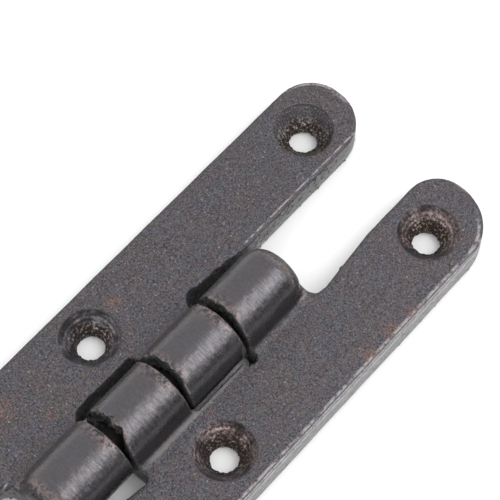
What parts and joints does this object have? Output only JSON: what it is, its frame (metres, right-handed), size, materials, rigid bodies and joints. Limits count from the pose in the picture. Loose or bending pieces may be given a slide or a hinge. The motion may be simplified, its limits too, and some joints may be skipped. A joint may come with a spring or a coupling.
{
  "type": "h hinge",
  "caption": "Surface-mounted cast-iron H hinge with long round-ended straps, countersunk screw holes and interlocking barrel knuckles that turn on a steel pin.",
  "frame": {"origin": "middle of the hinge, under the pin, in the plane of the back faces", "axes": "+Z out of the screw faces, away from the door; +Y along the pin; +X across the right leaf"},
  "size_m": [0.037, 0.104, 0.01],
  "materials": {
    "iron": "dark, sandy, worn at the edges and lightly rusted",
    "pin_steel": "dull, drawn"
  },
  "bodies": {
    "left": {"left_leaf": "iron", "hinge_pin": "pin_steel"},
    "right": {"right_leaf": "iron"}
  },
  "joints": [
    {"name": "leaf_turn", "type": "hinge", "parent": "left", "child": "right", "pos_m": [0, 0, 0.005], "axis": [0, -1, 0], "range_deg": [-90, 180]}
  ]
}
